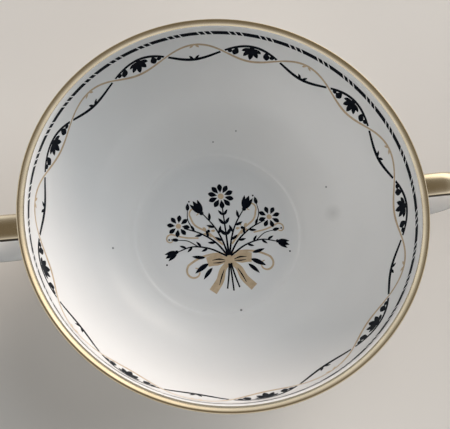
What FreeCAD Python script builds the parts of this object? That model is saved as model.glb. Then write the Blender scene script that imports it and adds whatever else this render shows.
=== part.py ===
import FreeCAD, Part
import math
import os

import Sketcher
from FreeCAD import Vector

# Driving sizes in millimetres: name, value and what it measures
SIZES = (
    ("rim_radius", 51.0, "axis to the outside of the lip"),
    ("bowl_depth", 36.2, "top of the lip to the floor of the well"),
    ("floor_thickness", 3.0, "china under the well"),
    ("foot_height", 5.8, "standing plane to the underside of the bowl"),
    ("wall_thickness", 1.9, "china at the lip and the straight of the wall"),
    ("straight_depth", 6.0, "top of the lip to where the wall turns in"),
    ("well_inset", 25.0, "outside of the lip to the break between wall and floor"),
    ("well_blend", 5.0, "rounding of that break"),
    ("foot_inset", 23.4, "outside of the lip to the outside of the foot ring"),
    ("foot_width", 3.0, "foot ring, outside to inside"),
    ("foot_lean", 0.7, "how much the foot ring narrows towards the bowl"),
    ("foot_bevel", 0.6, "corner taken off each side of the standing face"),
    ("neck_blend", 1.4, "rounding between foot ring and bowl"),
    ("handle_drop", 10.5, "top of the lip to the top of the loop's middle line"),
    ("handle_projection", 23.0, "outside of the lip to the outside of the loop"),
    ("handle_arch", 90.0, "radius of the upper limb's middle line"),
    ("handle_bend", 10.7, "radius of the outer bend's middle line"),
    ("handle_sweep", 60.0, "radius of the lower limb's middle line"),
    ("handle_width", 7.0, "limb from side to side"),
    ("handle_thickness", 3.6, "limb from its outer face to its inner face"),
    ("root_blend", 2.0, "rounding where the limb meets the bowl"),
)

# Heights above the standing plane and a distance from the axis that follow from the sizes
BASE = "Sizes.foot_height"
FLOOR = f"{BASE} + Sizes.floor_thickness"
TOP = f"{FLOOR} + Sizes.bowl_depth"
TURN = f"{TOP} - Sizes.straight_depth"
FOOT_OUTSIDE = "Sizes.rim_radius - Sizes.foot_inset"

# How much of the wall a handle's end goes into
ROOT_SHARE = 0.5
ORIGIN = (-1, 1)
AXES = {"horizontal": -1, "vertical": -2}
START, END, CENTRE = range(1, 4)
CLOSE = 1e-4
EDGE_SAMPLES = 8


def make_sheet(doc):
    """The sizes, one alias to a row."""
    sheet = doc.addObject("Spreadsheet::Sheet", "Sizes")
    for row, (name, value, note) in enumerate(SIZES, start=1):
        sheet.set(f"A{row}", note)
        sheet.set(f"B{row}", str(value))
        sheet.setAlias(f"B{row}", name)
    doc.recompute()
    return sheet


def plane_of(body, role):
    """One of the body's own origin planes."""
    return next(f for f in body.Origin.OriginFeatures if f.Role == role)


def new_sketch(body, name, role):
    """An empty sketch on one of the body's origin planes."""
    sketch = body.newObject("Sketcher::SketchObject", name)
    sketch.AttachmentSupport = [(plane_of(body, role), "")]
    sketch.MapMode = "FlatFace"
    return sketch


def drive(sketch, name, formula, kind, *where):
    """A named constraint whose value is a formula of the sheet's sizes."""
    value = sketch.evalExpression(formula)
    index = sketch.addConstraint(Sketcher.Constraint(kind, *where, value))
    sketch.renameConstraint(index, name)
    sketch.setExpression(f"Constraints.{name}", formula)


def measure(sketch, name, kind, *where):
    """A named constraint that only reads a size off the sketch."""
    index = sketch.addConstraint(Sketcher.Constraint(kind, *where, 1))
    sketch.setDriving(index, False)
    sketch.renameConstraint(index, name)


def place(sketch, name, point, across, up):
    """Sets a point's distances from the sketch's origin, each a formula, or an axis for none."""
    for axis, kind, formula in (("vertical", "DistanceX", across), ("horizontal", "DistanceY", up)):
        if formula is None:
            sketch.addConstraint(Sketcher.Constraint("PointOnObject", *point, AXES[axis]))
        else:
            drive(sketch, f"{name}_{kind[-1].lower()}", formula, kind, *ORIGIN, *point)


def join(sketch, *points):
    """Makes each pair of points one."""
    for first, second in zip(points[::2], points[1::2]):
        sketch.addConstraint(Sketcher.Constraint("Coincident", *first, *second))


def circle_through(side, turn_height, end):
    """Centre and radius of the arc that is upright at (side, turn_height) and goes through end."""
    across, drop = side - end.x, turn_height - end.y
    radius = (across**2 + drop**2) / (2 * across)
    return Vector(side - radius, turn_height, 0), radius


def arc_between(centre, radius, first, second):
    """The arc that runs anticlockwise from first to second."""
    angles = [math.atan2(p.y - centre.y, p.x - centre.x) for p in (first, second)]
    return Part.ArcOfCircle(Part.Circle(centre, Vector(0, 0, 1), radius), *angles)


def blend_above(floor, blend, centre, radius):
    """Centre of the arc of radius blend that lies on the floor and inside a circle, and where they touch."""
    rise = centre.y - floor - blend
    middle = Vector(centre.x + math.sqrt((radius - blend) ** 2 - rise**2), floor + blend, 0)
    return middle, centre + (middle - centre) * (radius / (radius - blend))


def section_points(size):
    """The corners of the cup's half section, as (out from the axis, up)."""
    base = size.foot_height
    floor = base + size.floor_thickness
    top = floor + size.bowl_depth
    lip = top - size.wall_thickness / 2
    turn = top - size.straight_depth
    inside = size.rim_radius - size.wall_thickness
    foot_outside = size.rim_radius - size.foot_inset
    foot_inside = foot_outside - size.foot_width
    return {
        "base_middle": Vector(0, base, 0),
        "base_corner": Vector(foot_inside, base, 0),
        "foot_inside": Vector(foot_inside, 0, 0),
        "foot_outside": Vector(foot_outside, 0, 0),
        "neck": Vector(foot_outside - size.foot_lean, base, 0),
        "outer_turn": Vector(size.rim_radius, turn, 0),
        "outer_lip": Vector(size.rim_radius, lip, 0),
        "inner_lip": Vector(inside, lip, 0),
        "inner_turn": Vector(inside, turn, 0),
        "well_edge": Vector(size.rim_radius - size.well_inset, floor, 0),
        "well_middle": Vector(0, floor, 0),
        "top": Vector(inside + size.wall_thickness / 2, top, 0),
    }


def outer_curve(size):
    """Centre and radius of the bowl's outer curve in the half section."""
    points = section_points(size)
    return circle_through(size.rim_radius, points["outer_turn"].y, points["neck"])


def draw_section(body, size):
    """Half of the cup's section: bowl, lip and foot ring in one closed outline."""
    sketch = new_sketch(body, "CupSection", "YZ_Plane")
    p = section_points(size)
    outer_centre, outer_radius = outer_curve(size)
    inner_centre, inner_radius = circle_through(p["inner_turn"].x, p["inner_turn"].y, p["well_edge"])
    blend_centre, blend_end = blend_above(p["well_edge"].y, size.well_blend, inner_centre, inner_radius)
    floor_end = Vector(blend_centre.x, p["well_edge"].y, 0)
    lip_centre = (p["outer_lip"] + p["inner_lip"]) * 0.5
    lip_radius = size.wall_thickness / 2
    edges = {
        "underside": Part.LineSegment(p["base_middle"], p["base_corner"]),
        "recess": Part.LineSegment(p["base_corner"], p["foot_inside"]),
        "stand": Part.LineSegment(p["foot_inside"], p["foot_outside"]),
        "foot": Part.LineSegment(p["foot_outside"], p["neck"]),
        "outer_curve": arc_between(outer_centre, outer_radius, p["neck"], p["outer_turn"]),
        "outer_wall": Part.LineSegment(p["outer_turn"], p["outer_lip"]),
        "lip": arc_between(lip_centre, lip_radius, p["outer_lip"], p["inner_lip"]),
        "inner_wall": Part.LineSegment(p["inner_lip"], p["inner_turn"]),
        "inner_curve": arc_between(inner_centre, inner_radius, blend_end, p["inner_turn"]),
        "well_blend": arc_between(blend_centre, size.well_blend, floor_end, blend_end),
        "well_floor": Part.LineSegment(floor_end, p["well_middle"]),
        "axis": Part.LineSegment(p["well_middle"], p["base_middle"]),
    }
    at = {name: sketch.addGeometry(edge, False) for name, edge in edges.items()}
    well_edge = sketch.addGeometry(Part.Point(p["well_edge"]), True)
    join(
        sketch,
        (at["underside"], END), (at["recess"], START),
        (at["recess"], END), (at["stand"], START),
        (at["stand"], END), (at["foot"], START),
        (at["foot"], END), (at["outer_curve"], START),
        (at["well_floor"], END), (at["axis"], START),
        (at["axis"], END), (at["underside"], START),
    )
    for first, first_end, second, second_end in (
        ("outer_curve", END, "outer_wall", START),
        ("lip", START, "outer_wall", END),
        ("lip", END, "inner_wall", START),
        ("inner_curve", END, "inner_wall", END),
        ("well_blend", END, "inner_curve", START),
        ("well_blend", START, "well_floor", START),
    ):
        sketch.addConstraint(Sketcher.Constraint("Tangent", at[first], first_end, at[second], second_end))
    for line in ("underside", "stand", "well_floor"):
        sketch.addConstraint(Sketcher.Constraint("Horizontal", at[line]))
    for line in ("recess", "outer_wall", "inner_wall"):
        sketch.addConstraint(Sketcher.Constraint("Vertical", at[line]))
    place(sketch, "underside", (at["underside"], START), None, BASE)
    place(sketch, "foot_inside", (at["stand"], START), f"{FOOT_OUTSIDE} - Sizes.foot_width", None)
    drive(sketch, "foot_out", FOOT_OUTSIDE, "DistanceX", *ORIGIN, at["stand"], END)
    place(sketch, "neck", (at["foot"], END), f"{FOOT_OUTSIDE} - Sizes.foot_lean", BASE)
    place(sketch, "outer_turn", (at["outer_wall"], START), "Sizes.rim_radius", TURN)
    drive(sketch, "lip_top", f"{TOP} - Sizes.wall_thickness / 2", "DistanceY", *ORIGIN, at["lip"], CENTRE)
    drive(sketch, "lip_round", "Sizes.wall_thickness / 2", "Radius", at["lip"])
    drive(sketch, "inner_turn", TURN, "DistanceY", *ORIGIN, at["inner_wall"], END)
    place(sketch, "well_edge", (well_edge, START), "Sizes.rim_radius - Sizes.well_inset", FLOOR)
    place(sketch, "well_middle", (at["well_floor"], END), None, FLOOR)
    sketch.addConstraint(Sketcher.Constraint("PointOnObject", well_edge, START, at["inner_curve"]))
    drive(sketch, "well_blend", "Sizes.well_blend", "Radius", at["well_blend"])
    measure(sketch, "outer_curve", "Radius", at["outer_curve"])
    return sketch


def revolve_section(body, sketch):
    """The cup turned about its upright axis."""
    cup = body.newObject("PartDesign::Revolution", "CupTurned")
    cup.Profile = sketch
    cup.ReferenceAxis = (sketch, ["V_Axis"])
    cup.Angle = 360
    body.Tip = cup
    return cup


def edges_where(shape, wanted):
    """The names of the edges for which wanted(edge) holds."""
    return [f"Edge{i}" for i, edge in enumerate(shape.Edges, start=1) if wanted(edge)]


def is_ring(radius, height):
    """A test for the circle of that radius about the axis at that height."""
    def wanted(edge):
        curve = edge.Curve
        if not isinstance(curve, Part.Circle):
            return False
        middle = Vector(0, 0, height)
        return curve.Center.distanceToPoint(middle) < CLOSE and abs(curve.Radius - radius) < CLOSE
    return wanted


def dress_edges(doc, body, kind, name, base, wanted, size_name):
    """A fillet or chamfer on the edges that the test picks, of a size in the sheet."""
    doc.recompute()
    names = edges_where(base.Shape, wanted)
    if not names:
        raise RuntimeError(f"{name} finds no edge")
    dressed = body.newObject(f"PartDesign::{kind}", name)
    dressed.Base = (base, names)
    dressed.setExpression("Radius" if kind == "Fillet" else "Size", f"Sizes.{size_name}")
    body.Tip = dressed
    return dressed


def soften_turned_edges(doc, body, cup, size):
    """Rounds the foot ring's neck and takes the corners off the standing face."""
    p = section_points(size)
    neck = is_ring(p["neck"].x, p["neck"].y)
    inside, outside = (is_ring(p[name].x, 0) for name in ("foot_inside", "foot_outside"))
    blended = dress_edges(doc, body, "Fillet", "NeckBlend", cup, neck, "neck_blend")
    return dress_edges(doc, body, "Chamfer", "FootBevel", blended,
                       lambda edge: inside(edge) or outside(edge), "foot_bevel")


def meet(first, first_radius, second, second_radius):
    """Where two circles cross, on the left of the way from the first centre to the second."""
    between = second - first
    along = (first_radius**2 - second_radius**2 + between.Length**2) / (2 * between.Length)
    aside = math.sqrt(first_radius**2 - along**2)
    forward = between / between.Length
    return first + forward * along + Vector(-forward.y, forward.x, 0) * aside


def handle_points(size):
    """The loop's middle line in the (out, up) plane: the centres of its three arcs and their ends."""
    wall_centre, wall_curve = outer_curve(size)
    root_curve = wall_curve - size.wall_thickness * ROOT_SHARE
    top = section_points(size)["top"].y - size.handle_drop
    reach = size.rim_radius + size.handle_projection - size.handle_thickness / 2
    bend = Vector(reach - size.handle_bend, top - size.handle_bend, 0)
    arch = Vector(bend.x, top - size.handle_arch, 0)
    square_off = math.hypot(root_curve, size.handle_sweep)
    sweep = meet(wall_centre, square_off, bend, size.handle_sweep - size.handle_bend)
    outward = (bend - sweep).normalize()
    return {
        "wall_centre": wall_centre,
        "arch": arch,
        "bend": bend,
        "sweep": sweep,
        "upper_root": meet(wall_centre, root_curve, arch, size.handle_arch),
        "loop_top": Vector(bend.x, top, 0),
        "lower_bend": bend + outward * size.handle_bend,
        "lower_root": meet(sweep, size.handle_sweep, wall_centre, root_curve),
    }


def draw_handle_path(body, size):
    """The loop's middle line: arched out from the wall, round the bend and back square to the bowl."""
    sketch = new_sketch(body, "HandlePath", "XZ_Plane")
    p = handle_points(size)
    arch, bend, sweep = (
        sketch.addGeometry(arc_between(p[centre], radius, p[first], p[last]), False)
        for centre, radius, first, last in (
            ("arch", size.handle_arch, "loop_top", "upper_root"),
            ("bend", size.handle_bend, "lower_bend", "loop_top"),
            ("sweep", size.handle_sweep, "lower_root", "lower_bend"),
        )
    )
    square = sketch.addGeometry(Part.LineSegment(p["wall_centre"], p["lower_root"]), True)
    sketch.addConstraint(Sketcher.Constraint("Tangent", bend, END, arch, START))
    sketch.addConstraint(Sketcher.Constraint("Vertical", bend, CENTRE, arch, CENTRE))
    sketch.addConstraint(Sketcher.Constraint("Tangent", bend, START, sweep, END))
    sketch.addConstraint(Sketcher.Constraint("Tangent", square, END, sweep, START))
    sink = f"Sizes.wall_thickness * {ROOT_SHARE}"
    curve = "CupSection.Constraints.outer_curve / 1 mm"
    place(sketch, "wall_centre", (square, START), f"Sizes.rim_radius - {curve}", TURN)
    drive(sketch, "lower_root", f"{curve} - {sink}", "Distance", square, START, square, END)
    drive(sketch, "arch_radius", "Sizes.handle_arch", "Radius", arch)
    drive(sketch, "bend_radius", "Sizes.handle_bend", "Radius", bend)
    drive(sketch, "sweep_radius", "Sizes.handle_sweep", "Radius", sweep)
    drive(sketch, "loop_top", f"{TOP} - Sizes.handle_drop", "DistanceY", *ORIGIN, bend, END)
    drive(sketch, "bend_out",
          "Sizes.rim_radius + Sizes.handle_projection - Sizes.handle_thickness / 2 - Sizes.handle_bend",
          "DistanceX", *ORIGIN, bend, CENTRE)
    drive(sketch, "upper_root", f"{curve} - {sink}", "Distance", square, START, arch, END)
    measure(sketch, "root_out", "DistanceX", *ORIGIN, arch, END)
    measure(sketch, "root_up", "DistanceY", *ORIGIN, arch, END)
    measure(sketch, "rise", "DistanceX", arch, END, arch, CENTRE)
    return sketch


def draw_limb_section(body, size):
    """The limb's oval section, square to the middle line where the upper limb starts inside the wall."""
    sketch = new_sketch(body, "LimbSection", "YZ_Plane")
    sketch.AttachmentOffset = FreeCAD.Placement(Vector(), FreeCAD.Rotation(Vector(-1, 0, 0), 1))
    sketch.setExpression("AttachmentOffset.Base.y", "HandlePath.Constraints.root_up")
    sketch.setExpression("AttachmentOffset.Base.z", "HandlePath.Constraints.root_out")
    sketch.setExpression("AttachmentOffset.Rotation.Angle",
                         "asin(HandlePath.Constraints.rise / HandlePath.Constraints.arch_radius)")
    side = Vector(size.handle_width / 2, 0, 0)
    top = Vector(0, size.handle_thickness / 2, 0)
    oval = sketch.addGeometry(Part.Ellipse(side, top, Vector()), False)
    sketch.exposeInternalGeometry(oval)
    width, thickness = oval + 1, oval + 2
    sketch.addConstraint(Sketcher.Constraint("Horizontal", width))
    join(sketch, (oval, CENTRE), ORIGIN)
    drive(sketch, "width", "Sizes.handle_width", "Distance", width, START, width, END)
    drive(sketch, "thickness", "Sizes.handle_thickness", "Distance", thickness, START, thickness, END)
    return sketch


def sweep_handle(body, section, path):
    """One handle, swept along the loop and joined to the bowl."""
    handle = body.newObject("PartDesign::AdditivePipe", "Handle")
    handle.Profile = section
    handle.Spine = (path, [f"Edge{i}" for i in range(1, len(path.Shape.Edges) + 1)])
    body.Tip = handle
    return handle


def mirror_handle(body, handle):
    """The second handle, on the far side of the axis."""
    pair = body.newObject("PartDesign::Mirrored", "HandlePair")
    pair.Originals = [handle]
    pair.MirrorPlane = (plane_of(body, "YZ_Plane"), [""])
    body.Tip = pair
    return pair


def soften_roots(doc, body, pair, size):
    """Blends each limb into the outside of the bowl."""
    centre, radius = outer_curve(size)

    def on_bowl(point):
        out = math.hypot(point.x, point.y)
        if point.z > centre.y:
            return abs(out - size.rim_radius) < CLOSE
        return abs(math.hypot(out - centre.x, point.z - centre.y) - radius) < CLOSE

    def is_root(edge):
        points = edge.discretize(EDGE_SAMPLES)
        sides = [p.y for p in points]
        beside_limb = max(map(abs, sides)) < size.handle_width and max(sides) - min(sides) > CLOSE
        return beside_limb and all(map(on_bowl, points))

    return dress_edges(doc, body, "Fillet", "RootBlend", pair, is_root, "root_blend")


def check(doc, body):
    """Stops if any object failed or the cup isn't one sound solid."""
    failed = [o.Name for o in doc.Objects if {"Invalid", "Error"} & set(o.State)]
    if failed:
        raise RuntimeError(f"failed: {failed}")
    if body.Shape.isNull() or not body.Shape.isValid() or len(body.Shape.Solids) != 1:
        raise RuntimeError("the cup isn't one valid solid")


def main():
    doc = FreeCAD.newDocument("BouillonCup")
    size = make_sheet(doc)
    body = doc.addObject("PartDesign::Body", "Cup")
    body.Label = "cup"
    section = draw_section(body, size)
    cup = revolve_section(body, section)
    soften_turned_edges(doc, body, cup, size)
    doc.recompute()
    path = draw_handle_path(body, size)
    doc.recompute()
    limb = draw_limb_section(body, size)
    handle = sweep_handle(body, limb, path)
    pair = mirror_handle(body, handle)
    soften_roots(doc, body, pair, size)
    doc.recompute()
    check(doc, body)
    os.makedirs("parts", exist_ok=True)
    body.Shape.exportStep(f"parts/{body.Label}.step")
    box = body.Shape.optimalBoundingBox()
    print(f"{body.Label}: {box.XLength:.2f} x {box.YLength:.2f} x {box.ZLength:.2f} mm,"
          f" {body.Shape.Volume / 1000:.2f} cm3")


main()
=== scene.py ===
import math

import bpy
from mathutils import Matrix, Vector
from mathutils.geometry import tessellate_polygon


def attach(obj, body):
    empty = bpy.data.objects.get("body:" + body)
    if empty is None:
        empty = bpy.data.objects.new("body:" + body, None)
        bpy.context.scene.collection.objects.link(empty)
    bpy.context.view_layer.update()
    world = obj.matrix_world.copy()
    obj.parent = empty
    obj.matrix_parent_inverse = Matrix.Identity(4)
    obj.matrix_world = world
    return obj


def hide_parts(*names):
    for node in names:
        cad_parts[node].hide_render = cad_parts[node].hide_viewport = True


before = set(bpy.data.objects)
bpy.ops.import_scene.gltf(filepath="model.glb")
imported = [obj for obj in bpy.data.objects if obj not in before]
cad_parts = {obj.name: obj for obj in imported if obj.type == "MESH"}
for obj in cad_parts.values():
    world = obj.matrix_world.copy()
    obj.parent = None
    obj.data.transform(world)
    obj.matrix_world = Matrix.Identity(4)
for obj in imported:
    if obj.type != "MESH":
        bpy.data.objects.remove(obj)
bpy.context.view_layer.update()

MM = 0.001

# The bowl, in millimetres: out is the distance from the cup's axis, up the height
RIM_OUT = 51.0
LIP_UP, LIP_ROUND = 44.05, 0.95
LIP_TOP, LIP_EDGE, LIP_TURN = 45.0, 0.38, 119
BAND_UP, TURN_UP = 41.5, 39.0
WELL_OUT, WELL_UP = 26.0, 8.8
WELL_RINGS = 4, 9, 14, 19, 23
WELL_EDGE = ((25.2, 8.8), (25.6, 8.82), (25.82, 8.9), (26.15, 9.17), (26.4, 9.25), (27.2, 9.32))
WALL_STARTS = 28.2
NECK_OUT, NECK_UP, NECK_BLEND = 26.9, 5.8, 1.4
FOOT_OUT, FOOT_IN, FOOT_ROUND = 27.6, 24.6, 0.6
RECESS_RING, RECESS_ROUND, RECESS_BEVEL = 2.6, 0.6, 0.2
UNDER_RINGS = 20, 14, 9, 4
WALL_IN = RIM_OUT - 2 * LIP_ROUND

# How finely the turned section is drawn
TURNS = 320
WALL_STEPS, SLOPE_STEPS, EDGE_STEPS, NECK_STEPS, FOOT_STEPS = 30, 14, 12, 8, 5

# The angles tried for where the neck's rounding leaves the bowl: first, step in degrees and number
NECK_FROM, NECK_STEP, NECK_TRIES = -80, 0.02, 2000

# One handle's middle line in the (out, up) plane: centre, radius, start and end angle in degrees
LOOP = (
    ((61.5, -55.5), 90.0, 97.573, 90.0),
    ((61.5, 23.8), 10.7, 90.0, -108.86),
    ((77.44, 70.45), 60.0, -108.86, -123.35),
)
LOOP_LENGTHS = [radius * math.radians(start - end) for _, radius, start, end in LOOP]
LOOP_LENGTH = sum(LOOP_LENGTHS)
LIMB_SIDE, LIMB_THICK = 3.5, 1.8
LIMB_TURNS, LIMB_ROWS = 48, 96
ROOT_BLEND, ROOT_SEARCH, BLEND_ROWS, HALVINGS = 2.0, 6.0, 8, 40
ROOT_SINK, CAP_SINK = 0.12, 0.5


def circle_through(side, end_out, end_up):
    """Centre (out) and radius of the arc that is upright at (side, TURN_UP) and ends at the given point."""
    across, drop = side - end_out, TURN_UP - end_up
    radius = (across**2 + drop**2) / (2 * across)
    return side - radius, radius


def lip_slope():
    """Centre and radius of the lip's inner slope, from its edge rounding down to the upright inner wall."""
    turn = math.radians(LIP_TURN)
    out = RIM_OUT - LIP_EDGE + LIP_EDGE * math.cos(turn)
    up = LIP_TOP - LIP_EDGE + LIP_EDGE * math.sin(turn)
    radius = (out - WALL_IN) / (1 + math.cos(turn))
    return (WALL_IN + radius, up - radius * math.sin(turn)), radius


LIP_EDGE_AT = RIM_OUT - LIP_EDGE, LIP_TOP - LIP_EDGE
LIP_SLOPE_AT, LIP_SLOPE = lip_slope()
INNER_OUT, INNER_ROUND = circle_through(WALL_IN, WELL_OUT, WELL_UP)
OUTER_OUT, OUTER_ROUND = circle_through(RIM_OUT, NECK_OUT, NECK_UP)


# Meshes

class Shape:
    """Points in millimetres and the faces between them, gathered before they become one object."""

    def __init__(self):
        self.points = []
        self.faces = []

    def add(self, points, faces):
        base = len(self.points)
        self.points += [Vector(p) for p in points]
        self.faces += [[base + i for i in face] for face in faces]

    def mirrored(self):
        """The same shape on the other side of the YZ plane."""
        other = Shape()
        other.points = [Vector((-p.x, p.y, p.z)) for p in self.points]
        other.faces = [face[::-1] for face in self.faces]
        return other

    def join(self, other):
        self.add(other.points, other.faces)

    def build(self, name, material, sharp=40):
        """The object, in metres, smooth apart from edges sharper than the given angle."""
        mesh = bpy.data.meshes.new(name)
        mesh.from_pydata([p * MM for p in self.points], [], self.faces)
        mesh.validate()
        mesh.shade_smooth()
        mesh.set_sharp_from_angle(angle=math.radians(sharp))
        mesh.materials.append(material)
        piece = bpy.data.objects.new(name, mesh)
        bpy.context.scene.collection.objects.link(piece)
        return piece


def grid_faces(rows, columns, wrap_rows=False, wrap_columns=False):
    """Faces of a grid of points, row after row."""
    faces = []
    for i in range(rows if wrap_rows else rows - 1):
        for j in range(columns if wrap_columns else columns - 1):
            a, b = i * columns, (i + 1) % rows * columns
            k = (j + 1) % columns
            faces.append([a + j, b + j, b + k, a + k])
    return faces


def add_shell(shape, top, bottom, wrap_rows=False):
    """A closed thin shell between two grids of points of the same size."""
    rows, columns = len(top), len(top[0])
    count = rows * columns
    points = [p for row in top for p in row] + [p for row in bottom for p in row]
    upper = grid_faces(rows, columns, wrap_rows)
    faces = upper + [[count + i for i in face[::-1]] for face in upper]
    around = [i * columns for i in range(rows)]
    sides = [around, [i + columns - 1 for i in around][::-1]]
    if not wrap_rows:
        ends = list(range(columns))
        sides += [ends[::-1], [(rows - 1) * columns + i for i in ends]]
    for side in sides:
        pairs = list(zip(side, side[1:]))
        if wrap_rows:
            pairs.append((side[-1], side[0]))
        faces += [[b, a, count + a, count + b] for a, b in pairs]
    shape.add(points, faces)


def add_plate(shape, outline, lift, place):
    """A closed thin plate of a flat outline, laid on a surface by place(x, y, height)."""
    count = len(outline)
    area = sum(a[0] * b[1] - b[0] * a[1] for a, b in zip(outline, outline[1:] + outline[:1]))
    if area < 0:
        outline = outline[::-1]
    points = [place(x, y, lift) for x, y in outline] + [place(x, y, -lift) for x, y in outline]
    flat = [Vector((x, y, 0)) for x, y in outline]
    top = []
    for a, b, c in tessellate_polygon([flat]):
        turned = (flat[b] - flat[a]).cross(flat[c] - flat[a]).z < 0
        top.append([a, c, b] if turned else [a, b, c])
    bottom = [[count + i for i in face[::-1]] for face in top]
    sides = [[i, count + i, count + (i + 1) % count, (i + 1) % count] for i in range(count)]
    shape.add(points, top + bottom + sides)


# The bowl

def arc(centre, radius, start, end, steps):
    """Points along an arc in the (out, up) plane, angles in degrees."""
    angles = [math.radians(start + (end - start) * i / steps) for i in range(steps + 1)]
    return [(centre[0] + radius * math.cos(a), centre[1] + radius * math.sin(a)) for a in angles]


def neck_rounding():
    """The arc between the bowl's outside and the foot ring, and the angle at which it leaves the bowl."""
    lean = math.atan2(FOOT_OUT - NECK_OUT, NECK_UP)
    reach = OUTER_ROUND + NECK_BLEND

    def centre(angle):
        return OUTER_OUT + reach * math.cos(angle), TURN_UP + reach * math.sin(angle)

    def gap(angle):
        """How far an arc with its centre there would stay off the foot ring's side."""
        out, up = centre(angle)
        return abs((out - FOOT_OUT) * math.cos(lean) + up * math.sin(lean) - NECK_BLEND)

    angle = min((math.radians(NECK_FROM + step * NECK_STEP) for step in range(NECK_TRIES)), key=gap)
    leaves = math.degrees(angle)
    return arc(centre(angle), NECK_BLEND, leaves + 180, 180 + math.degrees(lean), NECK_STEPS), leaves


def section():
    """The whole turned section, from the middle of the well over the lip to the middle underneath."""
    neck, neck_end = neck_rounding()
    well = [(out, WELL_UP) for out in WELL_RINGS] + list(WELL_EDGE)
    wall_start = -math.degrees(math.acos((WALL_STARTS - INNER_OUT) / INNER_ROUND))
    wall = arc((INNER_OUT, TURN_UP), INNER_ROUND, wall_start, 0, WALL_STEPS) + [(WALL_IN, BAND_UP)]
    slope = arc(LIP_SLOPE_AT, LIP_SLOPE, 180, LIP_TURN, SLOPE_STEPS)
    edge = arc(LIP_EDGE_AT, LIP_EDGE, LIP_TURN, 0, EDGE_STEPS)[1:]
    outside = [(RIM_OUT, BAND_UP)] + arc((OUTER_OUT, TURN_UP), OUTER_ROUND, 0, neck_end, WALL_STEPS)
    stand = arc((FOOT_OUT - FOOT_ROUND, FOOT_ROUND), FOOT_ROUND, 0, -90, FOOT_STEPS)
    inner_stand = arc((FOOT_IN + FOOT_ROUND, FOOT_ROUND), FOOT_ROUND, -90, -180, FOOT_STEPS)
    recess = [
        (FOOT_IN, RECESS_RING),
        (FOOT_IN, NECK_UP - RECESS_ROUND),
        (FOOT_IN - RECESS_BEVEL, NECK_UP - RECESS_BEVEL),
        (FOOT_IN - RECESS_ROUND, NECK_UP),
    ]
    under = [(out, NECK_UP) for out in UNDER_RINGS]
    return well + wall + slope + edge + outside + neck + stand + inner_stand + recess + under


def turned_bowl():
    """The bowl, lip and foot ring as one closed shape."""
    shape = Shape()
    outline = section()
    turns = [2 * math.pi * i / TURNS for i in range(TURNS)]
    points = [(out * math.cos(a), out * math.sin(a), up) for out, up in outline for a in turns]
    faces = [face[::-1] for face in grid_faces(len(outline), TURNS, wrap_columns=True)]
    top, bottom = len(points), len(points) + 1
    last = (len(outline) - 1) * TURNS
    faces += [[top, i, (i + 1) % TURNS] for i in range(TURNS)]
    faces += [[bottom, last + (i + 1) % TURNS, last + i] for i in range(TURNS)]
    shape.add(points + [(0, 0, WELL_UP), (0, 0, NECK_UP)], faces)
    return shape


def outside_at(up):
    """The bowl's outside at a height: how far out it is, and the way it faces in the (out, up) plane."""
    if up >= TURN_UP:
        return RIM_OUT, (1.0, 0.0)
    drop = TURN_UP - up
    reach = math.sqrt(OUTER_ROUND**2 - drop**2)
    return OUTER_OUT + reach, (reach / OUTER_ROUND, -drop / OUTER_ROUND)


def outside_normal(point):
    """The outward direction of the bowl's outside next to a point."""
    _, (level, rise) = outside_at(point.z)
    out = math.hypot(point.x, point.y)
    return Vector((point.x / out * level, point.y / out * level, rise))


def clearance(point):
    """How far a point is outside the bowl."""
    side, (level, _) = outside_at(point.z)
    return (math.hypot(point.x, point.y) - side) * level


# The handles

def limb_frame(along):
    """The loop's middle line at a length along it: the point, the direction and the outward side."""
    for (centre, radius, start, end), length in zip(LOOP, LOOP_LENGTHS):
        if along <= length or end == LOOP[-1][3]:
            a = math.radians(start) - along / radius
            side = Vector((math.cos(a), 0, math.sin(a)))
            middle = Vector((centre[0], 0, centre[1])) + side * radius
            return middle, Vector((math.sin(a), 0, -math.cos(a))), side
        along -= length


def limb_point(along, turn, lift=0.0):
    """A point of the limb's oval surface, turn 0 at its +Y side and a quarter turn on its outer face."""
    middle, _, side = limb_frame(along)
    c, s = math.cos(turn), math.sin(turn)
    normal = Vector((0, c / LIMB_SIDE, 0)) + side * (s / LIMB_THICK)
    return middle + Vector((0, LIMB_SIDE * c, 0)) + side * (LIMB_THICK * s) + normal.normalized() * lift


def limb_crossing(turn, start, end):
    """The length along the loop at which one line of the limb meets the bowl, between two lengths."""
    inside, outside = start, end
    for _ in range(HALVINGS):
        middle = (inside + outside) / 2
        if clearance(limb_point(middle, turn)) < 0:
            inside = middle
        else:
            outside = middle
    return (inside + outside) / 2


def root_rows(turn, start, end, lift):
    """The blend of one line of the limb into the bowl, from the bowl out, and where it ends on the limb."""
    way = 1 if end > start else -1
    crossing = limb_crossing(turn, start, end)
    corner = limb_point(crossing, turn)
    _, heading, side = limb_frame(crossing)
    normal = outside_normal(corner)
    oval = Vector((0, math.cos(turn) / LIMB_SIDE, 0)) + side * (math.sin(turn) / LIMB_THICK)
    away = (oval - normal * oval.dot(normal)).normalized()
    half = away.angle(heading * way) / 2
    reach = ROOT_BLEND / math.tan(half)
    weight = math.sin(half)
    foot = corner + away * reach
    foot -= outside_normal(foot) * clearance(foot)
    limb_end = crossing + way * reach
    top = limb_point(limb_end, turn)
    rows = [foot - outside_normal(foot) * ROOT_SINK]
    for step in range(BLEND_ROWS):
        t = step / BLEND_ROWS
        a, b, c = (1 - t) ** 2, 2 * t * (1 - t) * weight, t**2
        across = outside_normal(foot).lerp(oval.normalized(), t).normalized()
        rows.append((foot * a + corner * b + top * c) / (a + b + c) + across * lift)
    return rows, limb_end


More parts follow.
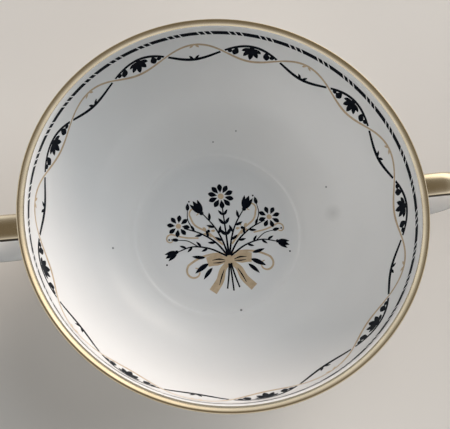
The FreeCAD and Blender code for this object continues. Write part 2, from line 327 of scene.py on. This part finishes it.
def limb_line(turn, lift=0.0):
    """One line along the handle's surface, inside the bowl's wall at both its ends."""
    first, begin = root_rows(turn, 0.0, ROOT_SEARCH, lift)
    last, finish = root_rows(turn, LOOP_LENGTH, LOOP_LENGTH - ROOT_SEARCH, lift)
    lengths = [begin + (finish - begin) * i / LIMB_ROWS for i in range(LIMB_ROWS + 1)]
    return first + [limb_point(along, turn, lift) for along in lengths] + last[::-1]


def handle():
    """The right handle with its blended roots, closed inside the wall."""
    columns = [limb_line(2 * math.pi * j / LIMB_TURNS) for j in range(LIMB_TURNS)]
    rows = len(columns[0])
    points = [columns[j][i] for i in range(rows) for j in range(LIMB_TURNS)]
    faces = grid_faces(rows, LIMB_TURNS, wrap_columns=True)
    shape = Shape()
    caps = []
    for row, reverse in ((0, False), (rows - 1, True)):
        ring = points[row * LIMB_TURNS:(row + 1) * LIMB_TURNS]
        middle = sum(ring, Vector()) / LIMB_TURNS
        caps.append(middle - outside_normal(middle) * (clearance(middle) + CAP_SINK))
        hub = len(points) + len(caps) - 1
        for j in range(LIMB_TURNS):
            a, b = row * LIMB_TURNS + j, row * LIMB_TURNS + (j + 1) % LIMB_TURNS
            faces.append([hub, b, a] if reverse else [hub, a, b])
    shape.add(points + caps, faces)
    return shape


# The gilding

# Its ends are lengths over the lip in millimetres and turns of the limb's section in degrees
GILT_LIFT = 0.03
LIP_GILT, LIP_GILT_STEP = (-0.35, 2.24), 0.08
# The second group of bands is painted dark reflection along the edges of the handle's gilding
LIMB_GILT, LIMB_REFLECTION_LINES, LIMB_GILT_STEP = (2, 154), ((-12, 2), (154, 178)), 9
ROOT_ROWS_BARE = 6


def spread(first, last, step):
    """Even values from the first to the last, about a step apart and at least three steps."""
    steps = max(3, round((last - first) / step))
    return [first + (last - first) * i / steps for i in range(steps + 1)]


def over_lip(length, lift):
    """A point of the lip's section, at a length measured over it from the foot of its outer rounding."""
    turn = math.radians(LIP_TURN)
    if length <= 0:
        return RIM_OUT + lift, LIP_EDGE_AT[1] + length
    if length <= LIP_EDGE * turn:
        (out, up), radius, a = LIP_EDGE_AT, LIP_EDGE, length / LIP_EDGE
    else:
        (out, up), radius, a = LIP_SLOPE_AT, LIP_SLOPE, turn + (length - LIP_EDGE * turn) / LIP_SLOPE
    return out + (radius + lift) * math.cos(a), up + (radius + lift) * math.sin(a)


def lip_band(first, last):
    """A band of gilding round the lip."""
    lengths = spread(first, last, LIP_GILT_STEP)
    shape = Shape()

    def ring(lift):
        profile = [over_lip(length, lift) for length in lengths]
        turns = [2 * math.pi * i / TURNS for i in range(TURNS)]
        return [[Vector((out * math.cos(a), out * math.sin(a), up)) for out, up in profile] for a in turns]

    add_shell(shape, ring(GILT_LIFT), ring(-GILT_LIFT), wrap_rows=True)
    return shape


def limb_band(first, last):
    """A band along the right handle, for its gilding and for the painted dark reflection at the gilding's
    edges, which leaves the rows next to the bowl bare.
    """
    turns = [math.radians(turn) for turn in spread(first, last, LIMB_GILT_STEP)]
    shape = Shape()

    def sheet(lift):
        lines = [limb_line(turn, lift)[ROOT_ROWS_BARE:-ROOT_ROWS_BARE] for turn in turns]
        return [[line[i] for line in lines] for i in range(len(lines[0]))]

    add_shell(shape, sheet(GILT_LIFT), sheet(-GILT_LIFT))
    return shape


# Print on the wall

# Depths run down the wall from the lip, and STRAIGHT is the depth of its upright part
PRINT_LIFT, LAYER = 0.018, 0.0015
STRAIGHT = LIP_UP - TURN_UP
DASHES = 35
DASH_DEPTH, DASH_WIDE, DASH_SLANT = 2.7, 1.4, -0.75

# WAVE_OUT turns lengths round the wall into angles, WAVE_THIN is a strand's share of its width at a crossing
WAVES, WAVE_START, WAVE_STEPS = 9, math.radians(3.5), 26
WAVE_DEPTH, WAVE_SWING, WAVE_OUT, WAVE_THIN = 10.45, 2.95, 48.5, 0.75

# The dashes of one step round the ring: start, share of the step, number of cells
DASH_PARTS = ((0.0, 0.55, 6), (0.6, 0.15, 2), (0.8, 0.15, 2))

# The leaves of a palmette: swing from its middle in degrees, length, width
PALMETTE = ((0, 4.7, 1.6), (31, 4.2, 1.5), (-31, 4.2, 1.5), (62, 3.3, 1.4), (-62, 3.3, 1.4))


def wall_point(angle, depth, lift):
    """A point on the inner wall, lifted off the glaze."""
    if depth <= STRAIGHT:
        out, up, level, rise = WALL_IN, LIP_UP - depth, 1.0, 0.0
    else:
        a = (depth - STRAIGHT) / INNER_ROUND
        level, rise = math.cos(a), -math.sin(a)
        out, up = INNER_OUT + INNER_ROUND * level, TURN_UP + INNER_ROUND * rise
    out, up = out - level * lift, up - rise * lift
    return Vector((out * math.cos(angle), out * math.sin(angle), up))


def on_wall(angle, depth):
    """Lays flat millimetres on the wall round one spot, x round the cup and y towards the lip."""
    return lambda x, y, lift: wall_point(angle + x / WAVE_OUT, depth - y, lift)


def on_well(x, y, lift):
    """Lays flat millimetres on the floor of the well."""
    return Vector((x, y, WELL_UP + lift))


def add_band(shape, line, widths):
    """A ribbon of print along a line of (angle, depth) on the wall, with a width for each of its points."""
    spots = [Vector((angle * WAVE_OUT, depth)) for angle, depth in line]
    top, bottom = [], []
    for i, (spot, width) in enumerate(zip(spots, widths)):
        before, after = spots[max(i - 1, 0)], spots[min(i + 1, len(spots) - 1)]
        way = (after - before).normalized()
        aside = Vector((-way.y, way.x)) * (width / 2)
        across = (spot - aside, spot, spot + aside)
        top.append([wall_point(p.x / WAVE_OUT, p.y, PRINT_LIFT) for p in across])
        bottom.append([wall_point(p.x / WAVE_OUT, p.y, -PRINT_LIFT) for p in across])
    add_shell(shape, top, bottom)


def dash_ring():
    """The ring of one long dash and two short ones, all cut on the slant."""
    shape = Shape()
    step = 2 * math.pi / DASHES
    edges = -DASH_WIDE / 2, DASH_WIDE / 2

    def across(angle, lift):
        return [wall_point(angle + DASH_SLANT * y / WALL_IN, DASH_DEPTH + y, lift) for y in edges]

    for n in range(DASHES):
        for start, share, cells in DASH_PARTS:
            angles = [(n + start + share * i / cells) * step for i in range(cells + 1)]
            top, bottom = ([across(angle, lift) for angle in angles] for lift in (PRINT_LIFT, -PRINT_LIFT))
            add_shell(shape, top, bottom)
    return shape


def wave(angle, side):
    """A strand of the wave at an angle, side 1 for the black one and -1 for the tan one."""
    return angle, WAVE_DEPTH + side * WAVE_SWING * math.sin(WAVES * (angle - WAVE_START))


def strand(shape, side, width, trim):
    """One strand of the wave, in runs from crossing to crossing that stop short of them by the trim."""
    run = math.pi / WAVES
    steps = range(WAVE_STEPS + 1)
    widths = [width * (WAVE_THIN + (1 - WAVE_THIN) * math.sin(math.pi * i / WAVE_STEPS)) for i in steps]
    for n in range(2 * WAVES):
        begin = WAVE_START + n * run + trim / WAVE_OUT
        end = WAVE_START + (n + 1) * run - trim / WAVE_OUT
        add_band(shape, [wave(begin + (end - begin) * i / WAVE_STEPS, side) for i in steps], widths)


# Flat outlines

LEAF_STEPS, LEAF_FULLNESS = 8, 0.85
CURL_STEPS, CURL_SHRINK = 14, 0.35

# A daisy's petals and heart, as shares of its radius
PETAL_FOOT, PETAL_LENGTH, PETAL_WIDTH, HEART = 0.3, 0.74, 0.4, 0.24

# A tulip's petals: swing in degrees, length and width as shares of its size, bend; and its round base
TULIP_PETALS = ((0, 1.0, 0.36, 0), (27, 0.95, 0.3, -0.16), (-27, 0.95, 0.3, 0.16))
TULIP_BASE = 0.14

# The leaves on a stem: share of the stem where they end, swing in degrees, width and bend
STEM_END, STEM_SWING, STEM_LEAF_WIDTH, STEM_LEAF_BEND = 0.94, 48, 0.34, 0.12


def leaf(x, y, heading, length, width, bend=0.0, full=0.45):
    """A pointed leaf from its foot: heading in degrees, bend and fullest place as shares of its length."""
    a = math.radians(heading)
    way, aside = Vector((math.cos(a), math.sin(a))), Vector((-math.sin(a), math.cos(a)))
    left, right = [], []
    for i in range(LEAF_STEPS + 1):
        t = i / LEAF_STEPS
        half = width / 2 * math.sin(math.pi * t ** (math.log(0.5) / math.log(full))) ** LEAF_FULLNESS
        middle = Vector((x, y)) + way * (length * t) + aside * (bend * length * t**2)
        left.append(middle + aside * half)
        right.append(middle - aside * half)
    return [tuple(p) for p in right + left[-2:0:-1]]


def disc(x, y, radius, steps=14):
    """A round spot."""
    angles = [2 * math.pi * i / steps for i in range(steps)]
    return [(x + radius * math.cos(a), y + radius * math.sin(a)) for a in angles]


def curve_through(points, steps=8):
    """A smooth line through the points."""
    p = [Vector(q) for q in points]
    p = [p[0] * 2 - p[1]] + p + [p[-1] * 2 - p[-2]]
    line = []
    for a, b, c, d in zip(p, p[1:], p[2:], p[3:]):
        for i in range(steps):
            t = i / steps
            line.append(0.5 * (b * 2 + (c - a) * t + (a * 2 - b * 5 + c * 4 - d) * t**2
                               + (b * 3 - a - c * 3 + d) * t**3))
    return line + [p[-2]]


def stroke(points, start, middle, end, steps=8):
    """A pen stroke along a smooth line, with its widths at the start, the middle and the end."""
    line = curve_through(points, steps)
    left, right = [], []
    for i, spot in enumerate(line):
        way = (line[min(i + 1, len(line) - 1)] - line[max(i - 1, 0)]).normalized()
        aside = Vector((-way.y, way.x))
        t = i / (len(line) - 1)
        width = start + (middle - start) * 2 * t if t < 0.5 else middle + (end - middle) * (2 * t - 1)
        left.append(spot + aside * width / 2)
        right.append(spot - aside * width / 2)
    return [tuple(q) for q in right + left[::-1]]


def curl(x, y, heading, radius, turn):
    """Points of a scroll that starts at (x, y) and winds in; turn is in degrees, positive to the left."""
    points = [(x, y)]
    angle = math.radians(heading)
    swing = math.radians(turn) / CURL_STEPS
    spot = Vector((x, y))
    for i in range(CURL_STEPS):
        t = i / CURL_STEPS
        now = radius * (1 - (1 - CURL_SHRINK) * t)
        angle += swing / 2
        spot = spot + Vector((math.cos(angle), math.sin(angle))) * (abs(swing) * now)
        angle += swing / 2
        points.append(tuple(spot))
    return points


def daisy(x, y, radius, petals, into, heart, tilt=0.0):
    """A flower of leaf-shaped petals round a heart of the other colour."""
    for n in range(petals):
        heading = tilt + 90 + 360 * n / petals
        a = math.radians(heading)
        foot = x + PETAL_FOOT * radius * math.cos(a), y + PETAL_FOOT * radius * math.sin(a)
        into.append(leaf(*foot, heading, PETAL_LENGTH * radius, PETAL_WIDTH * radius, full=0.6))
    heart.append(disc(x, y, HEART * radius))


def tulip(x, y, heading, size, into):
    """A closed flower of three petals."""
    for swing, length, width, bend in TULIP_PETALS:
        into.append(leaf(x, y, heading + swing, size * length, size * width, bend, full=0.42))
    into.append(disc(x, y, size * TULIP_BASE))


def leaves(stem, into, first, count, size):
    """Small leaves on both sides of a stem, from a share of its length on."""
    line = curve_through(stem)
    for n in range(count):
        i = int(len(line) * (first + (STEM_END - first) * n / count))
        way = line[min(i + 1, len(line) - 1)] - line[i - 1]
        side = 1 if n % 2 else -1
        heading = math.degrees(math.atan2(way.y, way.x)) + side * STEM_SWING
        into.append(leaf(*line[i], heading, size, size * STEM_LEAF_WIDTH, -STEM_LEAF_BEND * side))


# The posy in the well

POSY_AT = 2.2, -8.6
BLACK_OVER_TAN = 2.4
LAYERS = 9


def posy_outlines():
    """The right half and the middle of a tied posy, as outlines in black and in tan."""
    black, tan = [], []
    middle_black, middle_tan = [], []

    # Stems and what they carry, right of the middle
    first = [(0.2, 0.5), (1.6, 6.0), (3.6, 10.5), (6.9, 15.2)]
    second = [(0.4, 0.5), (3.6, 5.0), (8.0, 8.4), (13.0, 10.6)]
    third = [(0.6, 0.3), (5.6, 3.2), (11.0, 4.4), (16.0, 3.2)]
    black.append(stroke(first, 0.62, 0.5, 0.34))
    black.append(stroke(second, 0.62, 0.5, 0.34))
    black.append(stroke(third, 0.6, 0.46, 0.3))
    tulip(6.9, 15.0, 62, 4.9, black)
    daisy(14.6, 11.5, 3.5, 8, black, tan, tilt=12)
    tulip(16.0, 3.3, -24, 4.0, black)
    leaves(first, black, 0.3, 4, 2.7)
    leaves(second, black, 0.34, 4, 2.5)
    leaves(third, black, 0.36, 4, 2.3)
    black.append(stroke([(9.6, 9.2), (11.4, 13.0), (11.2, 16.6)], 0.34, 0.3, 0.22))
    black.append(leaf(11.2, 16.2, 96, 2.6, 1.2, full=0.4))
    black.append(stroke([(9.4, 4.4), (12.2, 6.4), (15.2, 7.0)], 0.32, 0.28, 0.2))
    black.append(leaf(15.0, 7.0, 10, 2.4, 1.1, full=0.4))
    for x, y in ((10.4, 19.2), (17.9, 7.4), (3.2, 20.6), (19.4, -0.4)):
        black.append(disc(x, y, 0.3, 8))

    # Scrolls and small flowers in tan
    for points, widths in (
        ([(0.8, 1.0), (5.0, 1.4), (9.2, 0.6)] + curl(12.4, -1.0, -34, 2.6, -330), (0.7, 0.6, 0.3)),
        ([(1.4, 4.0), (5.6, 8.4), (9.4, 11.2)] + curl(10.6, 14.2, 66, 1.9, 290), (0.6, 0.5, 0.3)),
        ([(8.8, 7.0), (13.0, 7.6)] + curl(16.8, 9.0, 14, 1.6, -280), (0.5, 0.45, 0.3)),
    ):
        tan.append(stroke(points, *widths, steps=4))
    daisy(5.4, 8.9, 2.1, 5, tan, black, tilt=20)

    # Leaves and stalks under the knot
    black.append(leaf(6.6, -1.4, -24, 5.2, 1.5, -0.1))
    black.append(leaf(5.6, -2.8, -42, 4.6, 1.2, -0.08))
    black.append(leaf(7.4, 0.6, 4, 4.2, 1.1, 0.12))
    black.append(stroke([(0.3, -2.0), (0.9, -5.6), (1.9, -9.8)], 0.5, 0.5, 0.46))

    # Bow: a loop and a tail, with their folds
    tan.append(stroke([(0.4, -0.9), (2.6, -0.6), (5.0, -0.6), (7.0, -0.9)], 1.5, 3.6, 3.0))
    tan.append(stroke([(0.6, -1.8), (2.6, -4.0), (3.8, -7.0), (6.4, -10.2)], 1.4, 2.3, 2.6))
    black.append(stroke([(1.4, -0.9), (3.2, -0.4), (5.4, -0.5)], 0.16, 0.5, 0.16))
    black.append(stroke([(1.5, -1.3), (3.4, -1.5), (5.2, -1.4)], 0.14, 0.4, 0.14))
    black.append(stroke([(2.1, -3.8), (3.2, -6.0), (4.2, -8.4)], 0.16, 0.44, 0.16))

    # The middle: a stem with its flower and leaves, a stalk and the knot
    middle_black.append(stroke([(0, 0.5), (0, 8), (0, 17.5)], 0.66, 0.54, 0.36))
    daisy(0, 20.0, 4.1, 10, middle_black, middle_tan)
    for side in (1, -1):
        for up, size in ((7.0, 3.0), (10.6, 2.8), (13.6, 2.4)):
            middle_black.append(leaf(0, up, 90 - side * 46, size, size * 0.36, 0.12 * side))
    middle_black.append(stroke([(0, -2.2), (0, -6), (0, -10.6)], 0.5, 0.5, 0.46))
    middle_tan.append([(x * 1.5, y * 1.7 - 0.9) for x, y in disc(0, 0, 1.0, 16)])
    for side, middle in ((0.4, 0.7), (-2.3, -2.6)):
        middle_black.append(stroke([(-0.8, side), (0, middle), (0.8, side)], 0.12, 0.36, 0.12))
    return black, tan, middle_black, middle_tan


def posy():
    """The posy in its two colours, its outlines at slightly different heights where they overlap."""
    black, tan, middle_black, middle_tan = posy_outlines()
    over = BLACK_OVER_TAN * PRINT_LIFT
    shapes = []
    for half, middle, lift in ((black, middle_black, over), (tan, middle_tan, PRINT_LIFT)):
        shape = Shape()
        other_half = [[(-x, y) for x, y in outline] for outline in half]
        for n, outline in enumerate(half + other_half + middle):
            moved = [(x + POSY_AT[0], y + POSY_AT[1]) for x, y in outline]
            add_plate(shape, moved, lift + LAYER * (n % LAYERS), on_well)
        shapes.append(shape)
    return shapes


def border():
    """The wave in black and tan, with a hanging palmette in every other space and leaflets in the rest."""
    black, tan = Shape(), Shape()
    strand(black, 1, 1.0, 0.6)
    strand(tan, -1, 0.75, 0.0)

    # The palmette with a berry at its root, a leaf and a berry at each side of it
    palmette = [leaf(0, 2.3, -90 + swing, length, width, full=0.6) for swing, length, width in PALMETTE]
    palmette.append(disc(0, 2.45, 0.7, 12))
    for side in (1, -1):
        palmette.append(leaf(4.2 * side, 2.0, -90 + 14 * side, 3.3, 2.0, full=0.6))
        palmette.append(disc(6.3 * side, 0.3, 0.7, 12))
    black_leaflets = [leaf(0.3 * side, -2.8, 90 - 40 * side, 1.9, 0.8) for side in (1, -1)]
    tan_leaflets = [leaf(0.3 * side, 2.8, -90 + 44 * side, 1.6, 0.7) for side in (1, -1)]

    for n in range(2 * WAVES):
        place = on_wall(WAVE_START + (n + 0.5) * math.pi / WAVES, WAVE_DEPTH)
        motifs = ((black, palmette),) if n % 2 else ((black, black_leaflets), (tan, tan_leaflets))
        for shape, outlines in motifs:
            for outline in outlines:
                add_plate(shape, outline, PRINT_LIFT, place)
    return black, tan


# Materials

# Colours, each from one end of a finish's unevenness to the other
CHINA = ((0.3, (0.86, 0.855, 0.845)), (0.7, (0.885, 0.88, 0.87)))
GILDING = ((0.3, (0.80, 0.70, 0.53)), (0.7, (0.68, 0.585, 0.43)))
# painted dark reflection along the edges of the handles' gilding
PAINTED_REFLECTION_LINE = ((0.3, (0.03, 0.023, 0.016)), (0.7, (0.06, 0.046, 0.03)))
BLACK = ((0.35, (0.002, 0.003, 0.006)), (0.7, (0.005, 0.007, 0.012)))
TAN = ((0.35, (0.50, 0.38, 0.25)), (0.7, (0.60, 0.47, 0.32)))
FLOOR = ((0.3, (0.78, 0.735, 0.685)), (0.7, (0.82, 0.775, 0.72)))

# The part of a noise's range that carries a finish's unevenness
NOISE_SPAN = 0.3, 0.7

# The foot's unglazed edge: colour, roughness, and the heights in millimetres over which the glaze ends
BARE, BARE_ROUGHNESS, BARE_UP = (0.70, 0.685, 0.65), 0.7, (0.25, 0.1)
GLAZE_ROUGHNESS = 0.14, 0.18

# Marks on the china: painted shade over the well's floor, painted shade and dark reflection at the top of
# the well, a grey spot on the wall and pin specks; for each: where, radius, soft edge, strength and colour
SPECK = 0.12, 0.8, (0.05, 0.05, 0.05)
PAINTED_SHADE_SPOT_AND_SPECKS = (
    # painted shade: a blue-grey darkening over the floor of the well
    ((0, 0, 9), 24.2, 2, 0.19, (0.50, 0.525, 0.56)),
    # painted shade at the top of the well: the dark reflection and shadow of what stood over the cup
    ((3, 17, 9), 16, 13, 0.27, (0.50, 0.52, 0.54)),
    # a grey spot on the inner wall by the right handle
    ((36.2, 0.6, 13.7), 1.6, 1.5, 0.34, (0.46, 0.46, 0.45)),
    ((3.5, -25.3, 8.8), 0.34, *SPECK),
    ((2.0, 30.0, 10.2), 0.24, *SPECK),
    ((9.8, 32.4, 12.1), 0.24, *SPECK),
    ((-32.7, -2.5, 11.5), 0.3, *SPECK),
    ((35.6, 9.3, 14.1), 0.28, *SPECK),
)


def new_material(name):
    material = bpy.data.materials.new(name)
    material.use_nodes = True
    nodes = material.node_tree.nodes
    return material, nodes, material.node_tree.links, nodes["Principled BSDF"]


def object_noise(nodes, links, scale, detail):
    """Noise fixed to the object."""
    where = nodes.new("ShaderNodeTexCoord")
    noise = nodes.new("ShaderNodeTexNoise")
    noise.inputs["Scale"].default_value = scale
    noise.inputs["Detail"].default_value = detail
    links.new(where.outputs["Object"], noise.inputs["Vector"])
    return noise.outputs["Fac"]


def ramp(nodes, links, source, stops):
    """A value turned into a colour by stops of (position, colour)."""
    node = nodes.new("ShaderNodeValToRGB")
    while len(node.color_ramp.elements) < len(stops):
        node.color_ramp.elements.new(0.5)
    for element, (position, colour) in zip(node.color_ramp.elements, stops):
        element.position = position
        element.color = (*colour, 1)
    links.new(source, node.inputs["Fac"])
    return node.outputs["Color"]


def map_range(nodes, links, source, low, high, to_low, to_high):
    node = nodes.new("ShaderNodeMapRange")
    for name, value in (("From Min", low), ("From Max", high), ("To Min", to_low), ("To Max", to_high)):
        node.inputs[name].default_value = value
    links.new(source, node.inputs["Value"])
    return node.outputs["Result"]


def mix_colour(nodes, links, factor, first, second):
    """Two colours mixed; the second is given as a value."""
    node = nodes.new("ShaderNodeMix")
    node.data_type = "RGBA"
    links.new(factor, node.inputs["Factor"])
    links.new(first, node.inputs[6])
    node.inputs[7].default_value = (*second, 1)
    return node.outputs[2]


def bump(nodes, links, source, strength, distance, shader):
    node = nodes.new("ShaderNodeBump")
    node.inputs["Strength"].default_value = strength
    node.inputs["Distance"].default_value = distance
    links.new(source, node.inputs["Height"])
    links.new(node.outputs["Normal"], shader.inputs["Normal"])


def near(nodes, links, spot, radius, soft, share):
    """A share within a radius of a spot in millimetres, falling to 0 over a soft edge."""
    where = nodes.new("ShaderNodeTexCoord")
    distance = nodes.new("ShaderNodeVectorMath")
    distance.operation = "DISTANCE"
    distance.inputs[1].default_value = [v * MM for v in spot]
    links.new(where.outputs["Object"], distance.inputs[0])
    inner, outer = (radius - soft) * MM, (radius + soft) * MM
    return map_range(nodes, links, distance.outputs["Value"], inner, outer, share, 0)


def china_material():
    """White glazed china: faintly cloudy, with painted shade and a painted dark reflection in the well, a
    grey spot, pin specks and a bare foot.
    """
    material, nodes, links, shader = new_material("china")
    colour = ramp(nodes, links, object_noise(nodes, links, scale=38, detail=4), CHINA)
    # painted shade and a painted dark reflection in the well, a grey spot and pin specks are mixed into the
    # colour
    for spot, radius, soft, share, tint in PAINTED_SHADE_SPOT_AND_SPECKS:
        colour = mix_colour(nodes, links, near(nodes, links, spot, radius, soft, share), colour, tint)
    where = nodes.new("ShaderNodeTexCoord")
    parts = nodes.new("ShaderNodeSeparateXYZ")
    links.new(where.outputs["Object"], parts.inputs[0])
    bare = map_range(nodes, links, parts.outputs["Z"], BARE_UP[0] * MM, BARE_UP[1] * MM, 0, 1)
    links.new(mix_colour(nodes, links, bare, colour, BARE), shader.inputs["Base Color"])
    rough = nodes.new("ShaderNodeMix")
    rough.inputs["B"].default_value = BARE_ROUGHNESS
    links.new(bare, rough.inputs["Factor"])
    fine = object_noise(nodes, links, scale=900, detail=2)
    links.new(map_range(nodes, links, fine, *NOISE_SPAN, *GLAZE_ROUGHNESS), rough.inputs["A"])
    links.new(rough.outputs["Result"], shader.inputs["Roughness"])
    shader.inputs["IOR"].default_value = 1.5
    ripple = object_noise(nodes, links, scale=110, detail=1)
    bump(nodes, links, ripple, strength=0.12, distance=0.0003, shader=shader)
    return material


def uneven_material(name, scale, detail, stops, smooth, rough):
    """A material whose colour and roughness vary together over the object."""
    material, nodes, links, shader = new_material(name)
    patches = object_noise(nodes, links, scale, detail)
    links.new(ramp(nodes, links, patches, stops), shader.inputs["Base Color"])
    links.new(map_range(nodes, links, patches, *NOISE_SPAN, smooth, rough), shader.inputs["Roughness"])
    return material, nodes, links, shader


def gilding_material():
    """Soft gilding, a little browner and duller in patches."""
    material, nodes, links, shader = uneven_material(
        "gilding", scale=120, detail=3, stops=GILDING, smooth=0.17, rough=0.25)
    shader.inputs["Metallic"].default_value = 1.0
    grain = object_noise(nodes, links, scale=600, detail=2)
    bump(nodes, links, grain, strength=0.04, distance=0.0001, shader=shader)
    return material


def painted_reflection_line_material():
    """A painted dark reflection that edges the handles' gilding."""
    material, _, _, shader = uneven_material(
        "painted_reflection_line", scale=300, detail=3, stops=PAINTED_REFLECTION_LINE, smooth=0.4, rough=0.55)
    shader.inputs["Metallic"].default_value = 0.5
    return material


def enamel_material(name, stops, roughness):
    """Printed enamel, a little uneven."""
    material, _, _, shader = uneven_material(
        name, scale=700, detail=4, stops=stops, smooth=roughness * 0.8, rough=roughness * 1.3)
    shader.inputs["Specular IOR Level"].default_value = 0.05
    return material


def floor_material():
    """A plain pale floor."""
    material, nodes, links, shader = new_material("floor")
    cloud = object_noise(nodes, links, scale=9, detail=2)
    links.new(ramp(nodes, links, cloud, FLOOR), shader.inputs["Base Color"])
    shader.inputs["Roughness"].default_value = 0.9
    shader.inputs["Specular IOR Level"].default_value = 0.2
    return material


# Stage

CAMERA_AT = -18.42, -39.50, 160.45
CAMERA_TURN = (
    (0.98594, -0.13559, 0.09763),
    (0.10157, 0.95035, 0.29415),
    (-0.13266, -0.2801, 0.95076),
)
SENSOR, LENS, CLIP = 36.0, 40.0, (0.01, 20)
FLOOR_REACH = 2500

# Soft lamps: azimuth, elevation, width and height seen from the cup in degrees, then level and colour
KEY_AZIMUTH, KEY_ELEVATION = 49, 17
LAMP_DISTANCE = 4.0
LAMPS = (
    ("low_window", KEY_AZIMUTH, KEY_ELEVATION, 30, 27, 0.78, (1.0, 0.87, 0.77)),
    ("window", 34, 37, 60, 60, 0.61, (0.89, 0.95, 1.0)),
    ("left_fill", 184, 40, 60, 60, 0.38, (0.99, 0.985, 0.97)),
    ("near_fill", 290, 35, 60, 60, 0.13, (0.9, 0.97, 1.0)),
)
AMBIENT, AMBIENT_LEVEL = (0.9, 0.95, 1.0), 0.06

# The backdrop from the horizon up, and the soft glow that the glaze and the gilding mirror
BACKDROP = ((0.35, (0.86, 0.85, 0.83)), (0.62, (0.34, 0.32, 0.29)), (0.88, (0.19, 0.16, 0.115)))
GLOW, GLOW_WIDE, GLOW_CORE = (2.1, 1.9, 1.62), 26, 7


def make_camera():
    """The camera, high over the cup and a little to its left and near side, looking down into the bowl."""
    data = bpy.data.cameras.new("camera")
    data.sensor_width = SENSOR
    data.lens = LENS
    data.clip_start, data.clip_end = CLIP
    camera = bpy.data.objects.new("camera", data)
    bpy.context.scene.collection.objects.link(camera)
    turn = Matrix(CAMERA_TURN).transposed()
    camera.matrix_world = Matrix.Translation(Vector(CAMERA_AT) * MM) @ turn.to_4x4()
    bpy.context.scene.camera = camera


def make_floor():
    shape = Shape()
    corners = ((-1, -1), (1, -1), (1, 1), (-1, 1))
    shape.add([(x * FLOOR_REACH, y * FLOOR_REACH, 0) for x, y in corners], [[0, 1, 2, 3]])
    floor = shape.build("floor", floor_material())


def direction(azimuth, elevation):
    """The direction from the cup to an azimuth and elevation in degrees."""
    a, e = math.radians(azimuth), math.radians(elevation)
    return Vector((math.cos(a) * math.cos(e), math.sin(a) * math.cos(e), math.sin(e)))


def add_lamp(name, azimuth, elevation, width, height, level, colour):
    """A soft light aimed at the cup; at level 1 it fully lights a surface that faces it."""
    way = direction(azimuth, elevation)
    data = bpy.data.lights.new(name, "AREA")
    data.shape = "ELLIPSE"
    data.size = 2 * LAMP_DISTANCE * math.tan(math.radians(width / 2))
    data.size_y = 2 * LAMP_DISTANCE * math.tan(math.radians(height / 2))
    data.energy = level * math.pi**2 * LAMP_DISTANCE**2
    data.color = colour
    lamp = bpy.data.objects.new(name, data)
    lamp.location = way * LAMP_DISTANCE
    lamp.rotation_mode = "QUATERNION"
    lamp.rotation_quaternion = way.to_track_quat("Z", "Y")
    lamp.visible_camera = False
    lamp.visible_glossy = False
    bpy.context.scene.collection.objects.link(lamp)


def glow_share(nodes, links, where):
    """1 towards the low window, falling to 0 away from it."""
    facing = nodes.new("ShaderNodeVectorMath")
    facing.operation = "DOT_PRODUCT"
    facing.inputs[1].default_value = direction(KEY_AZIMUTH, KEY_ELEVATION)
    links.new(where, facing.inputs[0])
    edge, core = (math.cos(math.radians(angle)) for angle in (GLOW_WIDE, GLOW_CORE))
    return map_range(nodes, links, facing.outputs["Value"], edge, core, 0, 1)


def sum_or_product(nodes, links, operation, first, second):
    node = nodes.new("ShaderNodeMath")
    node.operation = operation
    node.use_clamp = True
    links.new(first, node.inputs[0])
    links.new(second, node.inputs[1])
    return node.outputs[0]


def make_world():
    """Faint even light, and a backdrop that only the camera, the glaze and the gilding see."""
    world = bpy.data.worlds.new("studio")
    bpy.context.scene.world = world
    world.use_nodes = True
    nodes, links = world.node_tree.nodes, world.node_tree.links
    ambient = nodes["Background"]
    ambient.inputs["Color"].default_value = (*AMBIENT, 1)
    ambient.inputs["Strength"].default_value = AMBIENT_LEVEL
    path = nodes.new("ShaderNodeLightPath").outputs
    where = nodes.new("ShaderNodeTexCoord").outputs["Generated"]
    parts = nodes.new("ShaderNodeSeparateXYZ")
    links.new(where, parts.inputs[0])
    share = glow_share(nodes, links, where)
    mirrored = sum_or_product(nodes, links, "MULTIPLY", share, path["Is Glossy Ray"])
    backdrop = ramp(nodes, links, parts.outputs["Z"], BACKDROP)
    seen = nodes.new("ShaderNodeBackground")
    links.new(mix_colour(nodes, links, mirrored, backdrop, GLOW), seen.inputs["Color"])
    either = sum_or_product(nodes, links, "ADD", path["Is Camera Ray"], path["Is Glossy Ray"])
    blend = nodes.new("ShaderNodeMixShader")
    links.new(either, blend.inputs[0])
    links.new(ambient.outputs[0], blend.inputs[1])
    links.new(seen.outputs[0], blend.inputs[2])
    links.new(blend.outputs[0], nodes["World Output"].inputs["Surface"])


# Assembly

def keep(piece):
    """The piece rides on the cup's one body."""
    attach(piece, "root")
    return piece


def main():
    make_camera()
    for lamp in LAMPS:
        add_lamp(*lamp)
    make_world()
    make_floor()
    bpy.context.scene.view_settings.view_transform = "Standard"

    body = turned_bowl()
    right = handle()
    body.join(right)
    body.join(right.mirrored())
    china = keep(body.build("china_body", china_material(), 50))
    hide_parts("cup")

    gold = gilding_material()
    # a painted dark reflection along the edges of the handles' gilding
    line = painted_reflection_line_material()
    keep(lip_band(*LIP_GILT).build("lip_gilding", gold, 50))
    gilt = limb_band(*LIMB_GILT)
    # bands of painted dark reflection at the gilding's edges
    lines = Shape()
    for ends in LIMB_REFLECTION_LINES:
        lines.join(limb_band(*ends))
    for side, change in (("right", lambda shape: shape), ("left", Shape.mirrored)):
        keep(change(gilt).build(f"{side}_handle_gilding", gold, 50))
        keep(change(lines).build(f"{side}_handle_painted_reflection_lines", line, 50))

    black = enamel_material("black_enamel", BLACK, 0.45)
    tan = enamel_material("tan_enamel", TAN, 0.4)
    keep(dash_ring().build("dash_ring", black))
    wave_black, wave_tan = border()
    keep(wave_black.build("wave_black", black))
    keep(wave_tan.build("wave_tan", tan))
    posy_black, posy_tan = posy()
    keep(posy_black.build("posy_black", black))
    keep(posy_tan.build("posy_tan", tan))


main()
